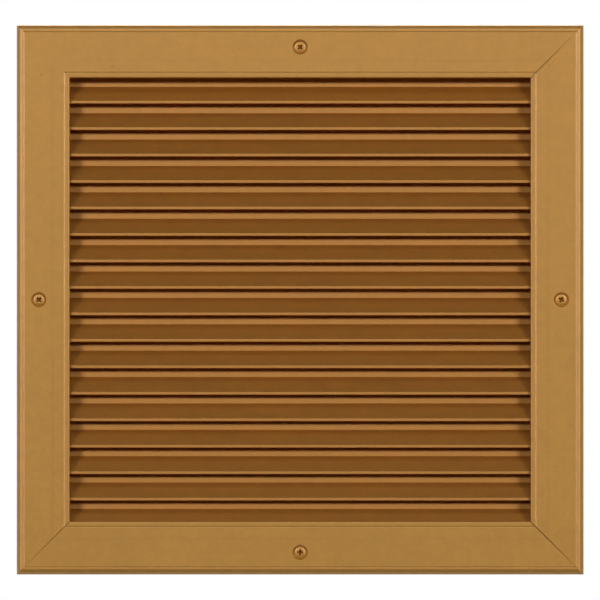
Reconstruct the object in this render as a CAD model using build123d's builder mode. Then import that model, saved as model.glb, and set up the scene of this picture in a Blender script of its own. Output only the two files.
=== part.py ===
from build123d import *
from math import cos, radians, sqrt, tan
import os

# A sight-proof transfer grille for a door: four mitred extrusions make the frame, and evenly spaced
# inverted-Y blades run across it. All sizes are millimetres.
# The frame is upright with +Z up and its face towards -Y. The door's face is the plane Y = 0, and the
# origin is the centre of the grille on that plane.

# Frame
FRAME_WIDTH = 349.0
FRAME_HEIGHT = 338.4
FRAME_PROJECTION = 6.0  # face of the frame, in front of the door
WALL = 1.8  # wall of the frame extrusion
SCREW_INSET = 13.8  # outer edge of the frame to the line of its screws
SCREW_TO_COLLAR = 7.3  # line of the screws to the outside of the collar
LIP_OVERHANG = 9.9  # inside of the collar to the edge of the opening

# Relief of the frame's face
OUTER_STRIP = 4.1  # outer edge to the groove beside it
OUTER_EDGE_RADIUS = 3.8
INNER_STRIP = 2.7  # edge of the opening to the groove beside it
INNER_EDGE_RADIUS = 0.8
GROOVE_WIDTH = 1.0
GROOVE_DEPTH = 0.15

# Mitres: tight behind the face, open at the face towards the opening; the paint bridges the tightest one
MITRE_GAPS = {"top_left": 0.0, "top_right": 0.5, "bottom_left": 0.45, "bottom_right": 0.7}
MITRE_GAP_DEPTH = 1.4
MITRE_GAP_OVERRUN = 1.0  # past the corner of the opening

# Corner keys and the channel that holds them behind the face
KEY_LEG = 42.0
KEY_LIP = 1.2  # reach of the two lips that hold a key in
KEY_LIP_THICKNESS = 0.9
KEY_RIB = 1.2
KEY_FIT = 0.1
KEY_TO_DOOR = 0.5  # back of the lips to the door
RIB_TO_COUNTERSINK = 0.3

# Blades
BLADE_PITCH = 16.25  # nearest even spacing to this fills the opening
BLADE_THICKNESS = 1.2
BLADE_SLOPE = 45.0
NOSE_HEIGHT = 1.65
NOSE_RADIUS = 0.35
STEM_CHAMFER = 0.3
LEG_RISE = 9.15  # top of a nose to the foot of the stem
STEM_HEIGHT = 7.8  # reaches past the noses of the blade above, which shuts every line of sight
NOSE_SETBACK = 1.0  # back of the frame's lip to the front of the noses
HEAD_NOSE_RISE = 0.6  # top edge of the opening to the nose line above it
SILL_NOSE_DROP = 3.6  # bottom edge of the opening to the noses of the lowest blade

# Slotted racks that carry the blade ends, flat against the collars of the stiles
RACK_THICKNESS = 1.5
RACK_FIT = 0.1
RACK_END_GAP = 0.3
SLOT_CLEARANCE = 0.1
RACK_BACK_MARGIN = 3.4  # rivet line to the back edge of the rack
COLLAR_PAST_RACK = 0.8

# Rivets that hold the racks, flush outside so that the collar can slide into a cut-out
RIVET_DIAMETER = 3.2
RIVET_HEAD_DIAMETER = 5.6
RIVET_HEAD_ANGLE = 120.0
RIVET_TAIL_DIAMETER = 4.8
RIVET_TAIL_TOP_DIAMETER = 3.6
RIVET_TAIL_HEIGHT = 1.1
RIVET_CLEARANCE = 0.06
RIVET_SETBACK = 3.8  # rear noses to the rivet line
RIVET_END_MARGIN = 36.8  # end of the rack to its first rivet
RIVETS_PER_RACK = 2

# Flat-head wood screws
SCREW_LENGTH = 25.4
SCREW_HEAD_DIAMETER = 6.8
SCREW_SHANK_DIAMETER = 4.2
SCREW_POINT = 5.0
COUNTERSINK_DIAMETER = 9.4
COUNTERSINK_ANGLE = 82.0
SCREW_SEAT_GAP = 0.06
SCREW_HOLE_CLEARANCE = 0.2
RECESS_SPAN = 3.5
RECESS_WIDTH = 1.2
RECESS_DEPTH = 1.8
RECESS_TAPER = 9.0
SCREW_TURNS = {"top": 40.0, "bottom": 4.0, "left": 47.0, "right": 33.0}

# Levels and places that follow from the sizes above
BORDER = SCREW_INSET + SCREW_TO_COLLAR + WALL + LIP_OVERHANG
OPENING_WIDTH = FRAME_WIDTH - 2 * BORDER
OPENING_HEIGHT = FRAME_HEIGHT - 2 * BORDER
FACE_Y = -FRAME_PROJECTION
PLATE_BACK_Y = FACE_Y + WALL
COLLAR_OUTSIDE = SCREW_INSET + SCREW_TO_COLLAR
COLLAR_INSIDE = COLLAR_OUTSIDE + WALL
MITRE_SEAM = (BORDER + MITRE_GAP_OVERRUN) * sqrt(2)
KEY_CHANNEL = SCREW_INSET - COUNTERSINK_DIAMETER / 2 - RIB_TO_COUNTERSINK - KEY_RIB - WALL
KEY_LIP_BACK_Y = -KEY_TO_DOOR
KEY_LIP_FRONT_Y = KEY_LIP_BACK_Y - KEY_LIP_THICKNESS

LEG_SLOPE = tan(radians(BLADE_SLOPE))
LEG_THICKNESS_UP = BLADE_THICKNESS / cos(radians(BLADE_SLOPE))
STEM_FOOT = NOSE_HEIGHT + LEG_RISE
STEM_TOP = STEM_FOOT + STEM_HEIGHT
LEG_RUN = LEG_RISE / LEG_SLOPE
BLADE_DEPTH = 2 * LEG_RUN + BLADE_THICKNESS
NOSE_Y = PLATE_BACK_Y + NOSE_SETBACK
RIVET_Y = NOSE_Y + BLADE_DEPTH + RIVET_SETBACK
RACK_BACK_Y = RIVET_Y + RACK_BACK_MARGIN
COLLAR_DEPTH = RACK_BACK_Y + COLLAR_PAST_RACK

BLADE_FIELD = OPENING_HEIGHT + HEAD_NOSE_RISE + SILL_NOSE_DROP
BLADE_COUNT = round(BLADE_FIELD / BLADE_PITCH)
BLADE_STEP = BLADE_FIELD / BLADE_COUNT
HEAD_NOSE_Z = OPENING_HEIGHT / 2 + HEAD_NOSE_RISE
COLLAR_INSIDE_X = FRAME_WIDTH / 2 - COLLAR_INSIDE
COLLAR_INSIDE_Z = FRAME_HEIGHT / 2 - COLLAR_INSIDE
BLADE_END_X = COLLAR_INSIDE_X - RACK_FIT
RACK_HEIGHT = 2 * (COLLAR_INSIDE_Z - RACK_END_GAP)
RIVET_SPACING = (RACK_HEIGHT - 2 * RIVET_END_MARGIN) / (RIVETS_PER_RACK - 1)
RIVET_HEIGHTS = [
    RIVET_SPACING * row - RACK_HEIGHT / 2 + RIVET_END_MARGIN for row in range(RIVETS_PER_RACK)
]

SINK_TANGENT = tan(radians(COUNTERSINK_ANGLE / 2))
SCREW_SINK = (COUNTERSINK_DIAMETER / 2 - SCREW_HEAD_DIAMETER / 2 - SCREW_SEAT_GAP) / SINK_TANGENT
SCREW_HEAD_Y = FACE_Y + SCREW_SINK

os.makedirs("parts", exist_ok=True)


def save(part, name):
    """Label a finished piece and write it under its own name."""
    part.label = name
    export_step(part, f"parts/{name}.step")


# Section of the frame extrusion: X runs from the outer edge to the opening, Y from the face to the door
RIB_OUTSIDE = WALL + KEY_CHANNEL
RIB_INSIDE = RIB_OUTSIDE + KEY_RIB
INNER_GROOVE = BORDER - INNER_STRIP - GROOVE_WIDTH

with BuildSketch() as frame_section:
    with BuildLine():
        Polyline(
            (0, 0),
            (0, FACE_Y),
            (OUTER_STRIP, FACE_Y),
            (OUTER_STRIP + GROOVE_WIDTH / 2, FACE_Y + GROOVE_DEPTH),
            (OUTER_STRIP + GROOVE_WIDTH, FACE_Y),
            (INNER_GROOVE, FACE_Y),
            (INNER_GROOVE + GROOVE_WIDTH / 2, FACE_Y + GROOVE_DEPTH),
            (INNER_GROOVE + GROOVE_WIDTH, FACE_Y),
            (BORDER, FACE_Y),
            (BORDER, PLATE_BACK_Y),
            (COLLAR_INSIDE, PLATE_BACK_Y),
            (COLLAR_INSIDE, COLLAR_DEPTH),
            (COLLAR_OUTSIDE, COLLAR_DEPTH),
            (COLLAR_OUTSIDE, PLATE_BACK_Y),
            (RIB_INSIDE, PLATE_BACK_Y),
            (RIB_INSIDE, KEY_LIP_BACK_Y),
            (RIB_OUTSIDE - KEY_LIP, KEY_LIP_BACK_Y),
            (RIB_OUTSIDE - KEY_LIP, KEY_LIP_FRONT_Y),
            (RIB_OUTSIDE, KEY_LIP_FRONT_Y),
            (RIB_OUTSIDE, PLATE_BACK_Y),
            (WALL, PLATE_BACK_Y),
            (WALL, KEY_LIP_FRONT_Y),
            (WALL + KEY_LIP, KEY_LIP_FRONT_Y),
            (WALL + KEY_LIP, KEY_LIP_BACK_Y),
            (WALL, KEY_LIP_BACK_Y),
            (WALL, 0),
            close=True,
        )
    make_face()
    outer_edge = frame_section.vertices().group_by(Axis.X)[0].sort_by(Axis.Y)[0]
    fillet(outer_edge, radius=OUTER_EDGE_RADIUS)
    lip_edge = frame_section.vertices().group_by(Axis.X)[-1].sort_by(Axis.Y)[0]
    fillet(lip_edge, radius=INNER_EDGE_RADIUS)


# Frame members: the plane of each section, its length and the corners at its two ends
MEMBERS = {
    "top_rail": (
        Plane(origin=(0, 0, FRAME_HEIGHT / 2), x_dir=(0, 0, -1), z_dir=(1, 0, 0)),
        FRAME_WIDTH,
        ("top_left", "top_right"),
    ),
    "bottom_rail": (
        Plane(origin=(0, 0, -FRAME_HEIGHT / 2), x_dir=(0, 0, 1), z_dir=(-1, 0, 0)),
        FRAME_WIDTH,
        ("bottom_right", "bottom_left"),
    ),
    "left_stile": (
        Plane(origin=(-FRAME_WIDTH / 2, 0, 0), x_dir=(1, 0, 0), z_dir=(0, 0, 1)),
        FRAME_HEIGHT,
        ("bottom_left", "top_left"),
    ),
    "right_stile": (
        Plane(origin=(FRAME_WIDTH / 2, 0, 0), x_dir=(-1, 0, 0), z_dir=(0, 0, -1)),
        FRAME_HEIGHT,
        ("top_right", "bottom_right"),
    ),
}

for name, (section_plane, length, corners) in MEMBERS.items():
    inward = section_plane.x_dir
    along = section_plane.z_dir
    with BuildPart() as member:
        with BuildSketch(section_plane):
            add(frame_section.sketch)
        extrude(amount=length / 2, both=True)
        # Mitres, each with half of the wedge that stands open at the face
        for end, corner in zip((-1, 1), corners):
            facing = (inward + along * end).normalized()
            outer_corner = section_plane.origin + along * (end * length / 2)
            split(bisect_by=Plane(origin=outer_corner, z_dir=facing), keep=Keep.BOTTOM)
            if MITRE_GAPS[corner]:
                seam_plane = Plane(
                    origin=outer_corner + Vector(0, FACE_Y, 0),
                    x_dir=(inward - along * end).normalized(),
                    z_dir=(0, 1, 0),
                )
                open_side = seam_plane.to_local_coords(seam_plane.origin - facing).Y
                with BuildSketch(seam_plane):
                    with BuildLine():
                        Polyline(
                            (0, 0),
                            (MITRE_SEAM, 0),
                            (MITRE_SEAM, open_side * MITRE_GAPS[corner] / 2),
                            close=True,
                        )
                    make_face()
                extrude(amount=MITRE_GAP_DEPTH, mode=Mode.SUBTRACT)
        # Countersunk screw hole in the middle of the face
        hole_point = section_plane.origin + inward * SCREW_INSET + Vector(0, FACE_Y, 0)
        with Locations(Plane(origin=hole_point, z_dir=(0, -1, 0))):
            CounterSinkHole(
                radius=SCREW_SHANK_DIAMETER / 2 + SCREW_HOLE_CLEARANCE,
                counter_sink_radius=COUNTERSINK_DIAMETER / 2,
                counter_sink_angle=COUNTERSINK_ANGLE,
                depth=FRAME_PROJECTION,
            )
        # Rivet holes through the collar of a stile, countersunk from outside
        if name.endswith("stile"):
            for height in RIVET_HEIGHTS:
                rivet_point = section_plane.origin + inward * COLLAR_OUTSIDE + Vector(0, RIVET_Y, height)
                with Locations(Plane(origin=rivet_point, z_dir=-inward)):
                    CounterSinkHole(
                        radius=RIVET_DIAMETER / 2 + RIVET_CLEARANCE,
                        counter_sink_radius=RIVET_HEAD_DIAMETER / 2 + RIVET_CLEARANCE,
                        counter_sink_angle=RIVET_HEAD_ANGLE,
                        depth=WALL + RACK_FIT / 2,
                    )
    save(member.part, name)


# Corner keys: flat angles in the channels behind each mitre
KEY_WIDTH = KEY_CHANNEL - 2 * KEY_FIT
KEY_THICKNESS = KEY_LIP_FRONT_Y - PLATE_BACK_Y - 2 * KEY_FIT
KEY_EDGE = WALL + KEY_FIT
KEY_SIDES = {"top_left": (-1, 1), "top_right": (1, 1), "bottom_left": (-1, -1), "bottom_right": (1, -1)}

for corner, (side, level) in KEY_SIDES.items():
    outer_x = side * (FRAME_WIDTH / 2 - KEY_EDGE)
    outer_z = level * (FRAME_HEIGHT / 2 - KEY_EDGE)
    inner_x = outer_x - side * KEY_WIDTH
    inner_z = outer_z - level * KEY_WIDTH
    end_x = outer_x - side * KEY_LEG
    end_z = outer_z - level * KEY_LEG
    key_plane = Plane(origin=(0, PLATE_BACK_Y + KEY_FIT, 0), x_dir=(1, 0, 0), z_dir=(0, -1, 0))
    with BuildPart() as corner_key:
        with BuildSketch(key_plane):
            with BuildLine():
                Polyline(
                    (outer_x, outer_z),
                    (end_x, outer_z),
                    (end_x, inner_z),
                    (inner_x, inner_z),
                    (inner_x, end_z),
                    (outer_x, end_z),
                    close=True,
                )
            make_face()
        extrude(amount=-KEY_THICKNESS)
    save(corner_key.part, f"corner_key_{corner}")


# Section of a blade, from the front of its nose and up from the foot of that nose
STEM_BACK = LEG_RUN + BLADE_THICKNESS
UNDER_CREST = STEM_FOOT + BLADE_THICKNESS / 2 * LEG_SLOPE - LEG_THICKNESS_UP
UNDER_NOSE = NOSE_HEIGHT + BLADE_THICKNESS * LEG_SLOPE - LEG_THICKNESS_UP

with BuildSketch() as blade_outline:
    with BuildLine():
        Polyline(
            (LEG_RUN, STEM_TOP),
            (LEG_RUN, STEM_FOOT),
            (0, NOSE_HEIGHT),
            (0, 0),
            (BLADE_THICKNESS, 0),
            (BLADE_THICKNESS, UNDER_NOSE),
            (BLADE_DEPTH / 2, UNDER_CREST),
            (BLADE_DEPTH - BLADE_THICKNESS, UNDER_NOSE),
            (BLADE_DEPTH - BLADE_THICKNESS, 0),
            (BLADE_DEPTH, 0),
            (BLADE_DEPTH, NOSE_HEIGHT),
            (STEM_BACK, STEM_FOOT),
            (STEM_BACK, STEM_TOP),
            close=True,
        )
    make_face()

with BuildSketch() as blade_section:
    add(blade_outline.sketch)
    fillet(blade_section.vertices().group_by(Axis.X)[0], radius=NOSE_RADIUS)
    chamfer(blade_section.vertices().group_by(Axis.Y)[-1], length=STEM_CHAMFER)

with BuildSketch() as blade_slot:
    add(blade_outline.sketch)
    offset(amount=SLOT_CLEARANCE, kind=Kind.INTERSECTION)

nose_lines = [HEAD_NOSE_Z - BLADE_STEP * row for row in range(1, BLADE_COUNT + 1)]

for number, nose_z in enumerate(nose_lines, start=1):
    with BuildPart() as blade:
        with BuildSketch(Plane.YZ):
            with Locations((NOSE_Y, nose_z)):
                add(blade_section.sketch)
        extrude(amount=BLADE_END_X, both=True)
    save(blade.part, f"blade_{number:02d}")


# Racks: a slotted strip at each side, with a slot for every blade
RACK_FRONT_Y = PLATE_BACK_Y + RACK_FIT
RACK_DEPTH = RACK_BACK_Y - RACK_FRONT_Y

for name, side in {"left_blade_rack": -1, "right_blade_rack": 1}.items():
    with BuildPart() as rack:
        with BuildSketch(Plane.YZ.offset(side * BLADE_END_X)):
            with Locations(((RACK_FRONT_Y + RACK_BACK_Y) / 2, 0)):
                Rectangle(RACK_DEPTH, RACK_HEIGHT)
            with Locations([(NOSE_Y, nose_z) for nose_z in nose_lines]):
                add(blade_slot.sketch, mode=Mode.SUBTRACT)
            with Locations([(RIVET_Y, height) for height in RIVET_HEIGHTS]):
                Circle(RIVET_DIAMETER / 2 + RIVET_CLEARANCE, mode=Mode.SUBTRACT)
        extrude(amount=-side * RACK_THICKNESS)
    save(rack.part, name)


# Rivets: flush head outside the collar, formed tail inside the rack; Y runs along the rivet
RIVET_HEAD_DEPTH = (RIVET_HEAD_DIAMETER - RIVET_DIAMETER) / 2 / tan(radians(RIVET_HEAD_ANGLE / 2))
RIVET_GRIP = WALL + RACK_FIT + RACK_THICKNESS

with BuildPart() as rivet:
    with BuildSketch():
        with BuildLine():
            Polyline(
                (0, 0),
                (RIVET_HEAD_DIAMETER / 2, 0),
                (RIVET_DIAMETER / 2, RIVET_HEAD_DEPTH),
                (RIVET_DIAMETER / 2, RIVET_GRIP),
                (RIVET_TAIL_DIAMETER / 2, RIVET_GRIP),
                (RIVET_TAIL_TOP_DIAMETER / 2, RIVET_GRIP + RIVET_TAIL_HEIGHT),
                (0, RIVET_GRIP + RIVET_TAIL_HEIGHT),
                close=True,
            )
        make_face()
    revolve(axis=Axis.Y)

COLLAR_OUTSIDE_X = FRAME_WIDTH / 2 - COLLAR_OUTSIDE
rivet_places = [
    Plane(
        origin=(side * COLLAR_OUTSIDE_X, RIVET_Y, height),
        x_dir=(0, 1, 0),
        z_dir=(0, 0, side),
    ).location
    for side in (-1, 1)
    for height in RIVET_HEIGHTS
]
with BuildPart() as rack_rivets:
    with Locations(rivet_places):
        add(rivet.part)
save(rack_rivets.part, "rack_rivets")


# Screws: the section runs from the top of the head, along Y into the door
HEAD_DEPTH = (SCREW_HEAD_DIAMETER - SCREW_SHANK_DIAMETER) / 2 / SINK_TANGENT

with BuildPart() as screw:
    with BuildSketch():
        with BuildLine():
            Polyline(
                (0, 0),
                (SCREW_HEAD_DIAMETER / 2, 0),
                (SCREW_SHANK_DIAMETER / 2, HEAD_DEPTH),
                (SCREW_SHANK_DIAMETER / 2, SCREW_LENGTH - SCREW_POINT),
                (0, SCREW_LENGTH),
                close=True,
            )
        make_face()
    revolve(axis=Axis.Y)
    # Cross recess in the head
    with BuildSketch(Plane.XZ):
        Rectangle(RECESS_SPAN, RECESS_WIDTH)
        Rectangle(RECESS_WIDTH, RECESS_SPAN)
    extrude(amount=-RECESS_DEPTH, taper=RECESS_TAPER, mode=Mode.SUBTRACT)

SIDE_X = FRAME_WIDTH / 2 - SCREW_INSET
SIDE_Z = FRAME_HEIGHT / 2 - SCREW_INSET
SCREW_SPOTS = {"top": (0, SIDE_Z), "bottom": (0, -SIDE_Z), "left": (-SIDE_X, 0), "right": (SIDE_X, 0)}
with BuildPart() as face_screws:
    for spot, (x, z) in SCREW_SPOTS.items():
        with Locations(Location((x, SCREW_HEAD_Y, z), (0, SCREW_TURNS[spot], 0))):
            add(screw.part)
save(face_screws.part, "face_screws")
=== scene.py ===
"""Looks of a door transfer grille: enamel, threaded screws, studio light and camera. Lengths are metres."""

import math

import bmesh
import bpy
from mathutils import Matrix, Vector


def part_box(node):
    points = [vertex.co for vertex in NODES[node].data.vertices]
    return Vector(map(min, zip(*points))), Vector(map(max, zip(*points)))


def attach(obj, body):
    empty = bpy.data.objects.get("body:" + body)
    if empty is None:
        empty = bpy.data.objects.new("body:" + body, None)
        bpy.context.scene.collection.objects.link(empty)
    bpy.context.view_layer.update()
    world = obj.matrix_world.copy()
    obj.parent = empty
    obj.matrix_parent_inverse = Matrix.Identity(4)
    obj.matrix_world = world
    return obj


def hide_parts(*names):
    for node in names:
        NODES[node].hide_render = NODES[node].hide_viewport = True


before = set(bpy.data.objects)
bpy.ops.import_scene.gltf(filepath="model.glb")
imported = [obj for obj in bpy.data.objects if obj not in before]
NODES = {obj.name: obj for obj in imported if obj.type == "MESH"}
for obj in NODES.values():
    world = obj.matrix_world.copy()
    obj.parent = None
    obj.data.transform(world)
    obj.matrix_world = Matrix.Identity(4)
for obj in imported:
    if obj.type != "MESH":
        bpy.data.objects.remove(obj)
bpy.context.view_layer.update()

MM = 0.001
BODY = "root"

# Places read from the frame
FACE_LOW, FACE_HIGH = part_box("top_rail")
FACE_Y = FACE_LOW.y
FRAME_TOP = FACE_HIGH.z
FRAME_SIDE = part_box("right_stile")[1].x
SCREW_LOW, SCREW_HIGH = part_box("face_screws")

# Camera, square on to the face
CAMERA_DISTANCE = 2.6
VIEW_WIDTH = 368.9 * MM  # width of the picture at the face
SENSOR_WIDTH = 36.0
CAMERA_X = -0.1 * MM
CAMERA_Z = -0.2 * MM

# Noise values lie mostly between these two limits; drawn-out noise between the second two
NOISE_RANGE = (0.3, 0.7)
DRAWN_RANGE = (0.35, 0.65)

# Enamel
FRAME_COLOUR = (0.56, 0.268, 0.018)
BLADE_COLOUR = (0.55, 0.231, 0.012)  # a shade redder than the frame
RECESS_SHADE_COLOUR = (0.38, 0.14, 0.012)  # painted shade: darker enamel in the screws' cross recesses, standing in for the shade inside them
ENAMEL_ROUGHNESS = 0.61
ENAMEL_METALLIC = 0.9
COAT_ROUGHNESS = 0.48
COAT_IOR = 1.78
MOTTLE = ((22.0, 3.0, 0.015), (130.0, 3.0, 0.02), (420.0, 4.0, 0.025))  # noise scale, detail, swing of tone
DIE_LINE_SCALE = 700.0
DIE_LINE_SWING = 0.006
DIE_LINE_STRETCH = 0.02
GLOSS_SCALE = 160.0
GLOSS_SWING = 0.03
PEEL_SCALE = 1100.0
PEEL_DETAIL = 2.0
PEEL_STRENGTH = 0.25
PEEL_DEPTH = 0.04 * MM
# Faint lines along the frame, as distance from its outer edge, half width and darkest tone: painted shade in
# the two grooves, and the line where the collar behind shows through the face
GROOVE_SHADE_AND_COLLAR_LINES = (
    (4.6 * MM, 0.9 * MM, 0.97),
    (22.1 * MM, 1.0 * MM, 0.94),
    (29.6 * MM, 0.9 * MM, 0.97),
)
FACE_LINE_FAINTEST = 0.99
FACE_LINE_CORE = 0.2  # part of the half width that is darkest
FACE_LINE_BREAKS = 900.0
# Small dark specks near the top left corner, as X, Z and radius
RAIL_SPECKS = ((-115.4 * MM, 143.4 * MM, 1.3 * MM), (-124.0 * MM, 148.0 * MM, 0.9 * MM))
STILE_SPECKS = ((-159.1 * MM, 138.5 * MM, 1.4 * MM), (-151.4 * MM, 146.4 * MM, 0.9 * MM))
SPECK_TONE = 0.8
SPECK_CORE = 0.3

# Bare metal
ALUMINIUM_COLOUR = (0.62, 0.62, 0.63)
ALUMINIUM_ROUGHNESS = 0.42
ZINC_COLOUR = (0.66, 0.63, 0.56)
ZINC_ROUGHNESS = 0.34
CLOUD_SCALE = 120.0
CLOUD_TONES = (0.9, 1.06)
GRAIN_SCALE = 1500.0
GRAIN_STRETCH = 0.03
GRAIN_TONES = (0.88, 1.06)
GRAIN_SMOOTHER = 0.08
GRAIN_ROUGHER = 0.1

# Screws
SCREW_SIDES = 28
SCREW_STEPS = 210
SCREW_HEAD_RADIUS = 3.4 * MM
SCREW_SHANK_RADIUS = 2.1 * MM
SCREW_CORE_RADIUS = 1.5 * MM
SCREW_TIP_RADIUS = 0.02 * MM
SCREW_HEAD_DEPTH = 1.495 * MM
SCREW_RIM = 0.45 * MM  # worn edge of the head, rounded by its paint
SCREW_RIM_DROP = 0.6 * SCREW_RIM
SCREW_POINT = 5.0 * MM
THREAD_PITCH = 1.6 * MM
THREAD_FLANK = 0.3  # half width of the ridge, in pitches
RECESS_SPAN = 3.5 * MM
RECESS_WIDTH = 1.2 * MM
RECESS_DEPTH = 1.8 * MM
RECESS_TAPER = 9.0
SCREW_TURNS = {"top": 40.0, "bottom": 4.0, "left": 47.0, "right": 33.0}
SCREW_SHARP_ANGLE = 40.0
HEAD_SLOT, SHANK_SLOT, RECESS_SLOT = range(3)

# Light: azimuth and elevation in degrees, distance, width, height, power in watts
SOFTBOXES = {
    "key_left": (-34.3, 12.4, 7.6, 1.74, 0.86, 240.0),
    "key_right": (34.3, 12.4, 7.6, 1.74, 0.86, 240.0),
    "top_fill": (0, 49, 4.5, 3.0, 1.5, 24.0),
    "back_top": (180, 45, 2.2, 1.4, 1.4, 30.0),
}
AMBIENT = 0.005
WHITE = (1, 1, 1, 1)

# Stage
FLOOR_Z = -1.2
STAGE_SIDE = 6.0
STAGE_FRONT = 0.65
STAGE_BACK = 6.0
STAGE_WING = 0.6  # how far the side sheets stand in front of the door's face
STAGE_TOP = 6.0
PAPER_COLOUR = (0.82, 0.82, 0.82)
PAPER_ROUGHNESS = 0.9
PAPER_SCALE = 60.0
PAPER_TONES = (0.97, 1.0)
PAPER_GLOW = 1.0


# Materials
def new_material(name):
    """An empty node material with its Principled shader wired to the output."""
    material = bpy.data.materials.new(name)
    material.use_nodes = True
    tree = material.node_tree
    tree.nodes.clear()
    output = tree.nodes.new("ShaderNodeOutputMaterial")
    shader = tree.nodes.new("ShaderNodeBsdfPrincipled")
    tree.links.new(shader.outputs["BSDF"], output.inputs["Surface"])
    return material, tree, shader


def noise(tree, vector, scale, detail=3.0):
    """Noise values around 0.5, from a vector socket."""
    node = tree.nodes.new("ShaderNodeTexNoise")
    node.inputs["Scale"].default_value = scale
    node.inputs["Detail"].default_value = detail
    tree.links.new(vector, node.inputs["Vector"])
    return node.outputs["Fac"]


def math_node(tree, operation, first, second):
    """A Math node; each input is a socket or a number."""
    node = tree.nodes.new("ShaderNodeMath")
    node.operation = operation
    for value, socket in zip((first, second), node.inputs):
        if isinstance(value, (int, float)):
            socket.default_value = value
        else:
            tree.links.new(value, socket)
    return node.outputs["Value"]


def remap(tree, value, limits, results):
    """A smooth step of a value from one range to another."""
    node = tree.nodes.new("ShaderNodeMapRange")
    node.interpolation_type = "SMOOTHSTEP"
    node.inputs["From Min"].default_value, node.inputs["From Max"].default_value = limits
    node.inputs["To Min"].default_value, node.inputs["To Max"].default_value = results
    tree.links.new(value, node.inputs["Value"])
    return node.outputs["Result"]


def around(middle, swing):
    """The range that swings evenly about a middle."""
    return middle - swing, middle + swing


def drawn_out(tree, place, axis, stretch):
    """Coordinates shrunk along one axis, for streaks along an extrusion."""
    node = tree.nodes.new("ShaderNodeVectorMath")
    node.operation = "MULTIPLY"
    node.inputs[1].default_value = tuple(stretch if letter == axis else 1.0 for letter in "XYZ")
    tree.links.new(place, node.inputs[0])
    return node.outputs["Vector"]


def shade(tree, colour, factor):
    """A colour multiplied by a grey factor socket."""
    node = tree.nodes.new("ShaderNodeVectorMath")
    node.operation = "SCALE"
    node.inputs[0].default_value = colour
    tree.links.new(factor, node.inputs["Scale"])
    return node.outputs["Vector"]


def product(tree, factors):
    """The product of several sockets."""
    result = factors[0]
    for factor in factors[1:]:
        result = math_node(tree, "MULTIPLY", result, factor)
    return result


def coordinates_of(tree):
    """Object coordinates, which are the part's own frame."""
    return tree.nodes.new("ShaderNodeTexCoord").outputs["Object"]


def face_lines(tree, place, drawn, across, edge):
    """Factors of the faint broken lines along a frame member whose outer edge is this far out on one axis:
    painted shade in its two grooves, and the collar line.
    """
    split = tree.nodes.new("ShaderNodeSeparateXYZ")
    tree.links.new(place, split.inputs["Vector"])
    offset = math_node(tree, "ABSOLUTE", split.outputs[across], 0.0)
    broken = noise(tree, drawn, FACE_LINE_BREAKS)
    lines = []
    for from_edge, half_width, darkest in GROOVE_SHADE_AND_COLLAR_LINES:
        gap = math_node(tree, "SUBTRACT", offset, edge - from_edge)
        gap = math_node(tree, "ABSOLUTE", gap, 0.0)
        mask = remap(tree, gap, (FACE_LINE_CORE * half_width, half_width), (0.0, 1.0))
        depth = remap(tree, broken, DRAWN_RANGE, (darkest, FACE_LINE_FAINTEST))
        lines.append(math_node(tree, "MAXIMUM", depth, mask))
    return lines


def speck(tree, place, x, z, radius):
    """Factor of one dark speck on the face."""
    distance = tree.nodes.new("ShaderNodeVectorMath")
    distance.operation = "DISTANCE"
    distance.inputs[1].default_value = (x, FACE_Y, z)
    tree.links.new(place, distance.inputs[0])
    return remap(tree, distance.outputs["Value"], (SPECK_CORE * radius, radius), (SPECK_TONE, 1.0))


def enamel(name, colour, streak_axis, across=None, edge=0.0, specks=(), coat=1.0):
    """Satin enamel over an extrusion: mottle, faint die lines along it, orange peel and a few specks."""
    material, tree, shader = new_material(name)
    place = coordinates_of(tree)
    drawn = drawn_out(tree, place, streak_axis, DIE_LINE_STRETCH)
    factors = [
        remap(tree, noise(tree, place, scale, detail), NOISE_RANGE, around(1.0, swing))
        for scale, detail, swing in MOTTLE
    ]
    factors.append(remap(tree, noise(tree, drawn, DIE_LINE_SCALE), DRAWN_RANGE, around(1.0, DIE_LINE_SWING)))
    if across:
        factors += face_lines(tree, place, drawn, across, edge)
    factors += [speck(tree, place, *spot) for spot in specks]
    tree.links.new(shade(tree, colour, product(tree, factors)), shader.inputs["Base Color"])
    shader.inputs["Metallic"].default_value = ENAMEL_METALLIC
    shader.inputs["Specular IOR Level"].default_value = 0.0
    shader.inputs["Coat Weight"].default_value = coat
    shader.inputs["Coat Roughness"].default_value = COAT_ROUGHNESS
    shader.inputs["Coat IOR"].default_value = COAT_IOR
    gloss = remap(tree, noise(tree, place, GLOSS_SCALE), NOISE_RANGE, around(ENAMEL_ROUGHNESS, GLOSS_SWING))
    tree.links.new(gloss, shader.inputs["Roughness"])
    bump = tree.nodes.new("ShaderNodeBump")
    bump.inputs["Strength"].default_value = PEEL_STRENGTH
    bump.inputs["Distance"].default_value = PEEL_DEPTH
    tree.links.new(noise(tree, place, PEEL_SCALE, PEEL_DETAIL), bump.inputs["Height"])
    tree.links.new(bump.outputs["Normal"], shader.inputs["Normal"])
    return material


def bare_metal(name, colour, roughness, streak_axis):
    """Unpainted metal with fine streaks and a cloudy tone."""
    material, tree, shader = new_material(name)
    place = coordinates_of(tree)
    grain = noise(tree, drawn_out(tree, place, streak_axis, GRAIN_STRETCH), GRAIN_SCALE)
    cloud = remap(tree, noise(tree, place, CLOUD_SCALE), NOISE_RANGE, CLOUD_TONES)
    tone = product(tree, [cloud, remap(tree, grain, NOISE_RANGE, GRAIN_TONES)])
    tree.links.new(shade(tree, colour, tone), shader.inputs["Base Color"])
    shader.inputs["Metallic"].default_value = 1.0
    gloss = remap(tree, grain, NOISE_RANGE, (roughness - GRAIN_SMOOTHER, roughness + GRAIN_ROUGHER))
    tree.links.new(gloss, shader.inputs["Roughness"])
    return material


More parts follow.
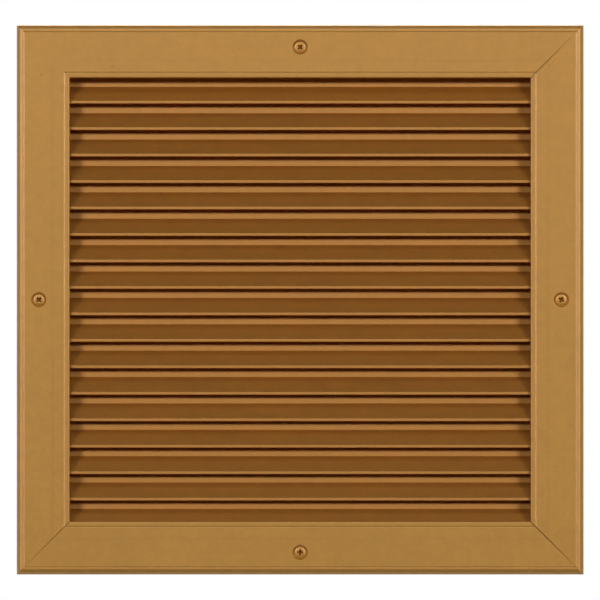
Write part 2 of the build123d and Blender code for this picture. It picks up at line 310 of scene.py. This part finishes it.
def paint_nodes():
    """Give every CAD node its own finish."""
    aluminium = bare_metal("mill_aluminium", ALUMINIUM_COLOUR, ALUMINIUM_ROUGHNESS, "X")
    # The first key found in a node's name counts, so racks come before blades
    finishes = {
        "rail": enamel("rail_enamel", FRAME_COLOUR, "X", "Z", FRAME_TOP, RAIL_SPECKS),
        "stile": enamel("stile_enamel", FRAME_COLOUR, "Z", "X", FRAME_SIDE, STILE_SPECKS),
        "blade_rack": enamel("rack_enamel", BLADE_COLOUR, "Z"),
        "blade": enamel("blade_enamel", BLADE_COLOUR, "X"),
        "corner_key": aluminium,
        "rack_rivets": aluminium,
    }
    for name, node in NODES.items():
        for key, material in finishes.items():
            if key in name:
                node.data.materials.clear()
                node.data.materials.append(material)
                break


# Screws
def recess_outline(span, width):
    """Corners of a cross, in order, in the plane of the screw's head."""
    a = span / 2
    b = width / 2
    quarter = [(a, -b), (a, b), (b, b)]
    corners = []
    for turn in range(4):
        c = math.cos(turn * math.pi / 2)
        s = math.sin(turn * math.pi / 2)
        corners += [(x * c - z * s, x * s + z * c) for x, z in quarter]
    return corners


def thread_radius(depth, angle, start, length):
    """Radius of a wood screw behind its head: plain shank, then a helical ridge that tapers to the point."""
    if depth < start:
        return SCREW_SHANK_RADIUS
    turn = (depth - start) / THREAD_PITCH - angle / (2 * math.pi)
    ridge = max(0.0, 1.0 - abs((turn % 1.0) - 0.5) / THREAD_FLANK)
    blend = min(1.0, (depth - start) / THREAD_PITCH)
    radius = SCREW_CORE_RADIUS + (SCREW_SHANK_RADIUS - SCREW_CORE_RADIUS) * ridge
    radius = radius * blend + SCREW_SHANK_RADIUS * (1 - blend)
    taper = min(1.0, (length - depth) / SCREW_POINT)
    return max(radius * taper, SCREW_TIP_RADIUS)


def add_screw(mesh, place, turn):
    """One screw, with its head in the plane through place and its point along +Y."""
    length = SCREW_HIGH.y - SCREW_LOW.y
    start = -SCREW_LOW.y  # the thread begins at the door's face
    shank = length - SCREW_HEAD_DEPTH
    depths = [SCREW_HEAD_DEPTH + shank * step / SCREW_STEPS for step in range(SCREW_STEPS + 1)]
    matrix = Matrix.Translation(place) @ Matrix.Rotation(math.radians(turn), 4, "Y")

    def ring(depth, radius_at):
        verts = []
        for side in range(SCREW_SIDES):
            angle = 2 * math.pi * side / SCREW_SIDES
            radius = radius_at(angle)
            point = Vector((radius * math.cos(angle), depth, radius * math.sin(angle)))
            verts.append(mesh.verts.new(matrix @ point))
        return verts

    def bridge(first, second, slot):
        for i in range(len(first)):
            j = (i + 1) % len(first)
            face = mesh.faces.new((first[i], first[j], second[j], second[i]))
            face.material_index = slot
            face.smooth = True

    rim = ring(0.0, lambda angle: SCREW_HEAD_RADIUS - SCREW_RIM)
    edge = ring(SCREW_RIM_DROP, lambda angle: SCREW_HEAD_RADIUS)
    rings = [ring(d, lambda angle, d=d: thread_radius(d, angle, start, length)) for d in depths]
    bridge(rim, edge, HEAD_SLOT)
    bridge(edge, rings[0], HEAD_SLOT)
    for first, second in zip(rings, rings[1:]):
        bridge(first, second, SHANK_SLOT)
    mesh.faces.new(rings[-1]).material_index = SHANK_SLOT

    narrow = 2 * RECESS_DEPTH * math.tan(math.radians(RECESS_TAPER))
    top_outline = recess_outline(RECESS_SPAN, RECESS_WIDTH)
    floor_outline = recess_outline(RECESS_SPAN - narrow, RECESS_WIDTH - narrow)
    top = [mesh.verts.new(matrix @ Vector((x, 0.0, z))) for x, z in top_outline]
    floor = [mesh.verts.new(matrix @ Vector((x, RECESS_DEPTH, z))) for x, z in floor_outline]
    for i in range(len(top)):
        j = (i + 1) % len(top)
        mesh.faces.new((top[i], floor[i], floor[j], top[j])).material_index = RECESS_SLOT
    mesh.faces.new(floor).material_index = RECESS_SLOT
    edges = []
    for loop in (rim, top):
        for i in range(len(loop)):
            pair = (loop[i], loop[(i + 1) % len(loop)])
            edges.append(mesh.edges.get(pair) or mesh.edges.new(pair))
    bmesh.ops.triangle_fill(mesh, use_beauty=True, use_dissolve=False, edges=edges)


def threaded_screws():
    """The four screws as one piece, with enamelled heads and zinc shanks, over the plain CAD screws."""
    mesh = bmesh.new()
    side_x = SCREW_HIGH.x - SCREW_HEAD_RADIUS
    side_z = SCREW_HIGH.z - SCREW_HEAD_RADIUS
    spots = {"top": (0, side_z), "bottom": (0, -side_z), "left": (-side_x, 0), "right": (side_x, 0)}
    for spot, (x, z) in spots.items():
        add_screw(mesh, Vector((x, SCREW_LOW.y, z)), SCREW_TURNS[spot])
    bmesh.ops.recalc_face_normals(mesh, faces=mesh.faces)
    data = bpy.data.meshes.new("threaded_screws")
    mesh.to_mesh(data)
    mesh.free()
    data.set_sharp_from_angle(angle=math.radians(SCREW_SHARP_ANGLE))
    data.materials.append(enamel("screw_head_enamel", FRAME_COLOUR, "Y"))
    data.materials.append(bare_metal("zinc_plate", ZINC_COLOUR, ZINC_ROUGHNESS, "Y"))
    # Painted shade: the cross recesses get a darker, uncoated enamel in place of the shade that falls inside
    # them
    data.materials.append(enamel("recess_painted_shade", RECESS_SHADE_COLOUR, "Y", coat=0.0))
    piece = bpy.data.objects.new("threaded_screws", data)
    bpy.context.scene.collection.objects.link(piece)
    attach(piece, BODY)
    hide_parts("face_screws")


# Stage
def paper(name, glow):
    """Plain white paper; with glow it also shines white to the camera and in reflections."""
    material, tree, shader = new_material(name)
    tone = remap(tree, noise(tree, coordinates_of(tree), PAPER_SCALE), NOISE_RANGE, PAPER_TONES)
    tree.links.new(shade(tree, PAPER_COLOUR, tone), shader.inputs["Base Color"])
    shader.inputs["Roughness"].default_value = PAPER_ROUGHNESS
    if glow:
        path = tree.nodes.new("ShaderNodeLightPath")
        seen = math_node(tree, "MAXIMUM", path.outputs["Is Camera Ray"], path.outputs["Is Glossy Ray"])
        seen = math_node(tree, "MAXIMUM", seen, path.outputs["Is Transmission Ray"])
        white = tree.nodes.new("ShaderNodeEmission")
        white.inputs["Color"].default_value = WHITE
        white.inputs["Strength"].default_value = PAPER_GLOW
        mix = tree.nodes.new("ShaderNodeMixShader")
        tree.links.new(seen, mix.inputs["Fac"])
        tree.links.new(shader.outputs["BSDF"], mix.inputs[1])
        tree.links.new(white.outputs["Emission"], mix.inputs[2])
        output = tree.nodes["Material Output"]
        tree.links.new(mix.outputs["Shader"], output.inputs["Surface"])
    return material


def add_sheet(name, corners, material):
    """One flat sheet of the stage from its four corners."""
    data = bpy.data.meshes.new(name)
    data.from_pydata(corners, [], [(0, 1, 2, 3)])
    data.materials.append(material)
    sheet = bpy.data.objects.new(name, data)
    bpy.context.scene.collection.objects.link(sheet)


def add_stage():
    """A plain pale floor below the picture, and white paper behind and beside the grille."""
    left, right = -STAGE_SIDE, STAGE_SIDE
    front, back = -STAGE_FRONT, STAGE_BACK
    low, high = FLOOR_Z, STAGE_TOP
    wing = -STAGE_WING
    ground = [(left, front, low), (right, front, low), (right, back, low), (left, back, low)]
    add_sheet("floor", ground, paper("floor_paper", False))
    white = paper("backdrop_paper", True)
    behind = [(left, back, low), (right, back, low), (right, back, high), (left, back, high)]
    add_sheet("backdrop", behind, white)
    for side, x in (("left", left), ("right", right)):
        beside = [(x, wing, low), (x, back, low), (x, back, high), (x, wing, high)]
        add_sheet(f"backdrop_{side}", beside, white)


def set_world():
    """A low even fill."""
    world = bpy.data.worlds.new("studio")
    bpy.context.scene.world = world
    world.use_nodes = True
    fill = world.node_tree.nodes["Background"]
    fill.inputs["Color"].default_value = WHITE
    fill.inputs["Strength"].default_value = AMBIENT


def add_softbox(name, azimuth, elevation, distance, width, height, power):
    """A rectangular area lamp on a sphere around the grille; azimuth 0 is straight in front of it."""
    a = math.radians(azimuth)
    e = math.radians(elevation)
    place = Vector((math.sin(a) * math.cos(e), -math.cos(a) * math.cos(e), math.sin(e))) * distance
    lamp = bpy.data.lights.new(name, "AREA")
    lamp.shape = "RECTANGLE"
    lamp.size = width
    lamp.size_y = height
    lamp.energy = power
    light = bpy.data.objects.new(name, lamp)
    light.location = place
    light.rotation_euler = place.to_track_quat("Z", "Y").to_euler()
    bpy.context.scene.collection.objects.link(light)


def add_camera():
    """A long lens square on to the face."""
    camera = bpy.data.cameras.new("camera")
    camera.sensor_width = SENSOR_WIDTH
    camera.lens = SENSOR_WIDTH * CAMERA_DISTANCE / VIEW_WIDTH
    place = bpy.data.objects.new("camera", camera)
    place.location = (CAMERA_X, FACE_Y - CAMERA_DISTANCE, CAMERA_Z)
    place.rotation_euler = (math.pi / 2, 0, 0)
    bpy.context.scene.collection.objects.link(place)
    bpy.context.scene.camera = place


paint_nodes()
threaded_screws()
add_stage()
set_world()
for lamp_name, settings in SOFTBOXES.items():
    add_softbox(lamp_name, *settings)
add_camera()
bpy.context.scene.view_settings.view_transform = "Standard"
